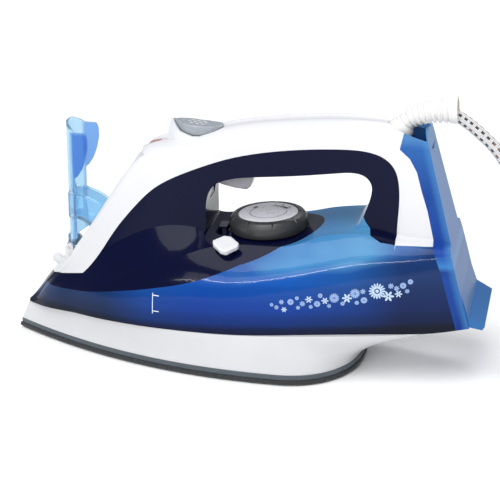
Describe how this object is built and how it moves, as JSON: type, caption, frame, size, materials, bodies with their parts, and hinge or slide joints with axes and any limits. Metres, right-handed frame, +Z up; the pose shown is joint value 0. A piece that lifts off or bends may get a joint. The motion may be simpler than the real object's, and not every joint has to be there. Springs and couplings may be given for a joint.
{
  "type": "clothes iron",
  "caption": "Household steam iron with a translucent tank, open filler lid, dial, spray button, steam trigger and a swivelling braided cord.",
  "frame": {"origin": "on the floor under the middle of the iron, measured without its cord", "axes": "+X from the nose to the heel, +Y across, +Z up"},
  "size_m": [0.4371, 0.162, 0.1719],
  "materials": {
    "white_plastic": "polished",
    "navy_plastic": "polished",
    "tank_blue": "translucent polished",
    "cover_blue": "translucent polished",
    "lid_blue": "translucent polished",
    "sole_coating": "satin non-stick",
    "rim_grey": "satin",
    "cast_aluminium": "cast",
    "steel": "satin",
    "brass": "satin",
    "dial_grey": "satin",
    "dial_silver": "satin",
    "button_grey": "satin",
    "trigger_grey": "satin",
    "selector_navy": "satin",
    "lens": "translucent",
    "silicone": "matte",
    "guard_white": "satin",
    "cord_braid": "woven",
    "plug_white": "satin",
    "ceramic": "matte",
    "wire_black": "matte"
  },
  "bodies": {
    "base": {"soleplate": "sole_coating", "sole_rim": "rim_grey", "sole_casting": "cast_aluminium", "heating_element": "steel", "base_skirt": "white_plastic", "chamber_seal": "silicone", "steam_chamber_cover": "cast_aluminium", "thermostat": "steel", "thermal_fuse": "ceramic", "element_terminals": "steel", "heat_shield": "steel", "sole_screws": "steel", "water_tank": "tank_blue", "front_pod": "navy_plastic", "grip_liner": "navy_plastic", "handle_shell": "white_plastic", "rear_cover_upper": "cover_blue", "rear_cover_lower": "cover_blue", "lid_hinge_pin": "steel", "filler_tray": "white_plastic", "filler_tray_near": "white_plastic", "filler_tray_far": "white_plastic", "filler_gasket": "silicone", "filler_neck": "white_plastic", "drip_valve_body": "brass", "spray_nozzle": "white_plastic", "spray_pump_cylinder": "white_plastic", "spray_pump_spring": "steel", "steam_pump_cylinder": "white_plastic", "steam_pump_spring": "steel", "spray_tube": "silicone", "indicator_lens": "lens", "indicator_lamp": "lens", "trigger_pin": "steel", "lead_wires": "wire_black", "cord_clamp": "white_plastic", "terminal_block": "ceramic"},
    "lid": {"filler_lid": "lid_blue"},
    "dial": {"temperature_dial": "dial_grey", "dial_cap": "dial_silver", "dial_spindle": "white_plastic"},
    "spray_push": {"spray_button": "button_grey"},
    "spray_plunger": {"spray_pump_piston": "white_plastic"},
    "trigger": {"steam_trigger": "trigger_grey"},
    "steam_plunger": {"steam_pump_piston": "white_plastic"},
    "clean_push": {"self_clean_button": "white_plastic"},
    "selector": {"steam_selector": "selector_navy"},
    "needle": {"drip_needle": "steel"},
    "cord_swivel": {"cord_guard": "guard_white", "cord_ball": "guard_white", "cord": "cord_braid", "cord_coil": "cord_braid", "cord_tail": "cord_braid", "cord_tie": "wire_black", "plug_body": "plug_white", "plug_pins": "brass"}
  },
  "joints": [
    {"name": "lid_hinge", "type": "hinge", "parent": "base", "child": "lid", "pos_m": [-0.1128, 0, 0.0617], "axis": [0, 1, 0], "range_deg": [0, 32.7]},
    {"name": "dial_turn", "type": "hinge", "parent": "base", "child": "dial", "pos_m": [0.014, 0, 0.0804], "axis": [-0.061, 0, 0.9981], "range_deg": [0, 270]},
    {"name": "spray_press", "type": "slide", "parent": "base", "child": "spray_push", "axis": [0, 0, -1], "range_m": [0, 0.004], "stiffness_N_per_m": 600, "springref_m": -0.002},
    {"name": "spray_pump_stroke", "type": "slide", "parent": "base", "child": "spray_plunger", "axis": [0, 0, -1], "range_m": [0, 0.004], "deforming": ["spray_pump_spring"]},
    {"name": "trigger_squeeze", "type": "hinge", "parent": "base", "child": "trigger", "pos_m": [-0.0197, 0, 0.1126], "axis": [0, -1, 0], "range_deg": [0, 10]},
    {"name": "steam_pump_stroke", "type": "slide", "parent": "base", "child": "steam_plunger", "axis": [0, 0, -1], "range_m": [0, 0.0021], "stiffness_N_per_m": 300, "springref_m": -0.003, "deforming": ["steam_pump_spring"]},
    {"name": "clean_press", "type": "slide", "parent": "base", "child": "clean_push", "axis": [-0.0602, 0.5017, -0.8629], "range_m": [0, 0.0026], "stiffness_N_per_m": 500, "springref_m": -0.001},
    {"name": "selector_slide", "type": "slide", "parent": "base", "child": "selector", "axis": [0, 1, 0], "range_m": [-0.008, 0.008]},
    {"name": "needle_lift", "type": "slide", "parent": "base", "child": "needle", "axis": [0, 0, 1], "range_m": [-0.0015, 0.0015]},
    {"name": "cord_swing", "type": "hinge", "parent": "base", "child": "cord_swivel", "pos_m": [0.0933, 0, 0.149], "axis": [0, 0, 1], "range_deg": [-20, 20]}
  ],
  "couplings": [
    {"joint": "spray_pump_stroke", "follows": "spray_press", "ratio": 1},
    {"joint": "trigger_squeeze", "follows": "steam_pump_stroke", "rad_per_m": 83.1},
    {"joint": "needle_lift", "follows": "selector_slide", "ratio": 0.1875}
  ]
}
